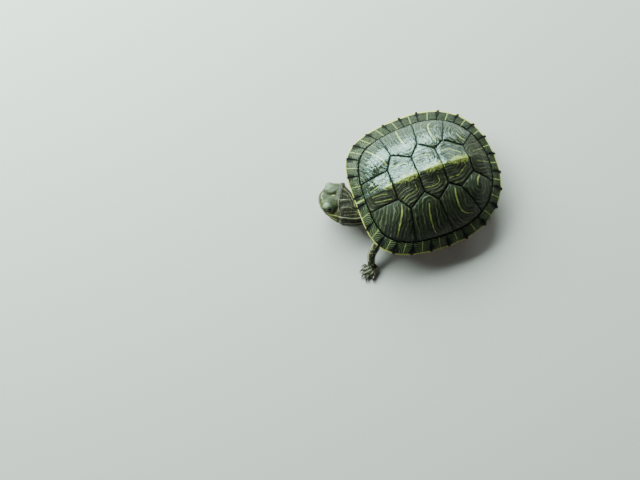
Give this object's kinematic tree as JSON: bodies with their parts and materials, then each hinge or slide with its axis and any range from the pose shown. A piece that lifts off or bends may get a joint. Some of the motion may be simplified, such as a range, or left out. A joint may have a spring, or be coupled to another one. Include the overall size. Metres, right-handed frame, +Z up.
{
  "type": "red-eared slider turtle",
  "caption": "Young red-eared slider turtle, life size and still, resting flat on its lower shell with its head out to one side and a foreleg stretched.",
  "frame": {"origin": "middle of the plastron's flat underside, on the floor", "axes": "-Y the way the shell faces, +X the turtle's left, +Z up"},
  "size_m": [0.0411, 0.0496, 0.0172],
  "materials": {
    "back_scutes": "wet horn, green with fine yellow-green lines",
    "rim_scutes": "wet horn, green loops with a yellow edge",
    "shell_bone": "dark seam colour under the scutes",
    "under_scutes": "smooth yellow horn with dark blotches",
    "skin": "wet fine-scaled skin, dark green with pale stripes",
    "eyes": "wet, yellow-green iris with a dark bar"
  },
  "bodies": {
    "root": {"bridge_left": "under_scutes", "bridge_right": "under_scutes", "carapace": "shell_bone", "costal_left_1": "back_scutes", "costal_left_2": "back_scutes", "costal_left_3": "back_scutes", "costal_left_4": "back_scutes", "costal_right_1": "back_scutes", "costal_right_2": "back_scutes", "costal_right_3": "back_scutes", "costal_right_4": "back_scutes", "eye_left": "eyes", "eye_right": "eyes", "foreleg_left": "skin", "foreleg_right": "skin", "head": "skin", "hind_leg_left": "skin", "hind_leg_right": "skin", "marginal_left_1": "rim_scutes", "marginal_left_10": "rim_scutes", "marginal_left_11": "rim_scutes", "marginal_left_12": "rim_scutes", "marginal_left_2": "rim_scutes", "marginal_left_3": "rim_scutes", "marginal_left_4": "rim_scutes", "marginal_left_5": "rim_scutes", "marginal_left_6": "rim_scutes", "marginal_left_7": "rim_scutes", "marginal_left_8": "rim_scutes", "marginal_left_9": "rim_scutes", "marginal_right_1": "rim_scutes", "marginal_right_10": "rim_scutes", "marginal_right_11": "rim_scutes", "marginal_right_12": "rim_scutes", "marginal_right_2": "rim_scutes", "marginal_right_3": "rim_scutes", "marginal_right_4": "rim_scutes", "marginal_right_5": "rim_scutes", "marginal_right_6": "rim_scutes", "marginal_right_7": "rim_scutes", "marginal_right_8": "rim_scutes", "marginal_right_9": "rim_scutes", "neck": "skin", "nuchal": "rim_scutes", "plastron": "under_scutes", "tail": "skin", "trunk": "skin", "vertebral_1": "back_scutes", "vertebral_2": "back_scutes", "vertebral_3": "back_scutes", "vertebral_4": "back_scutes", "vertebral_5": "back_scutes"}
  },
  "joints": []
}
